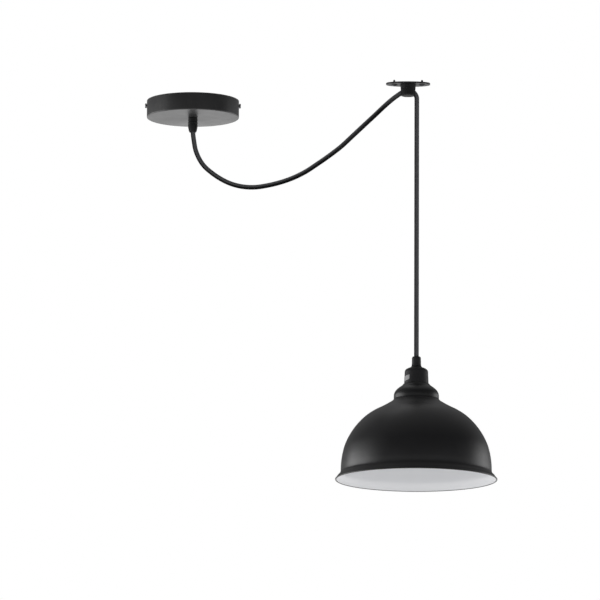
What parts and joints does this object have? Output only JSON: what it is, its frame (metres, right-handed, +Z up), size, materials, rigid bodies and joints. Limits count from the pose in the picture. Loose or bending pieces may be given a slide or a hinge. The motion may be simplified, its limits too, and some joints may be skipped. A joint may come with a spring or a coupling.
{
  "type": "pendant ceiling light",
  "caption": "Dome-shade pendant on a textile cord that loops from a round ceiling canopy to a separate ceiling hook and drops to a lampholder with a bulb.",
  "frame": {"origin": "centre of the canopy's ceiling plane, on the top face of the mounting bracket", "axes": "+Z up, +X from the canopy towards the hook as seen from the front, -Y towards the viewer"},
  "size_m": [0.5504, 0.3456, 0.6289],
  "materials": {
    "canopy_paint": "satin black powder coat",
    "shade_paint": "satin black outside, satin white inside",
    "zinc_steel": "zinc plated",
    "screw_black": "black oxide",
    "nickel": "nickel plated",
    "brass": "satin",
    "white_plastic": "moulded",
    "black_plastic": "moulded satin black",
    "textile": "braided black textile sleeve",
    "wire_brown": "pvc",
    "wire_blue": "pvc",
    "wire_green": "pvc",
    "label": "blank silver-grey film",
    "bulb_black_glass": "vitrite",
    "bulb_glass": "frosted white"
  },
  "bodies": {
    "ceiling": {"canopy_shell": "canopy_paint", "mounting_bracket": "zinc_steel", "canopy_screw_left": "screw_black", "canopy_screw_right": "screw_black", "earth_screw": "nickel", "terminal_block": "white_plastic", "terminal_screw_live": "brass", "terminal_screw_earth": "brass", "terminal_screw_neutral": "brass", "wire_live": "wire_brown", "wire_neutral": "wire_blue", "wire_earth": "wire_green", "canopy_grip_locknut": "black_plastic", "canopy_grip_body": "black_plastic", "canopy_grip_sleeve": "black_plastic", "swag_cord": "textile", "hook_base": "black_plastic", "hook_cap": "black_plastic", "hook_screw_left": "screw_black", "hook_screw_right": "screw_black"},
    "cord_bend": {"bend_cord": "textile"},
    "drop": {"drop_cord": "textile"},
    "lamp": {"holder_grip": "black_plastic", "holder_cap": "black_plastic", "rating_label": "label", "holder_body": "black_plastic", "shade_ring": "black_plastic", "socket_insulator": "white_plastic", "screw_shell": "brass", "centre_contact": "brass", "holder_terminal_live": "brass", "holder_terminal_neutral": "brass", "holder_wire_live": "wire_brown", "holder_wire_neutral": "wire_blue", "shade": "shade_paint"},
    "bulb_top": {"bulb_contact": "nickel", "bulb_insulator": "bulb_black_glass"},
    "bulb": {"bulb_base": "nickel", "bulb_globe": "bulb_glass"}
  },
  "joints": [
    {"name": "swing_side", "type": "hinge", "parent": "ceiling", "child": "cord_bend", "pos_m": [0.35, -0.148, -0.026], "axis": [0, 1, 0], "range_deg": [-25, 25]},
    {"name": "swing_front", "type": "hinge", "parent": "cord_bend", "child": "drop", "pos_m": [0.35, -0.148, -0.043], "axis": [1, 0, 0], "range_deg": [-25, 25]},
    {"name": "lamp_twist", "type": "hinge", "parent": "drop", "child": "lamp", "pos_m": [0.35, -0.148, -0.4305], "axis": [0, 0, 1], "range_deg": [-90, 90]},
    {"name": "bulb_travel", "type": "slide", "parent": "lamp", "child": "bulb_top", "axis": [0, 0, -1], "range_m": [0, 0.0254]},
    {"name": "bulb_turn", "type": "hinge", "parent": "bulb_top", "child": "bulb", "pos_m": [0.35, -0.148, -0.5], "axis": [0, 0, -1], "range_deg": [0, 2520]}
  ],
  "couplings": [
    {"joint": "bulb_turn", "follows": "bulb_travel", "rad_per_m": 1731.5}
  ]
}
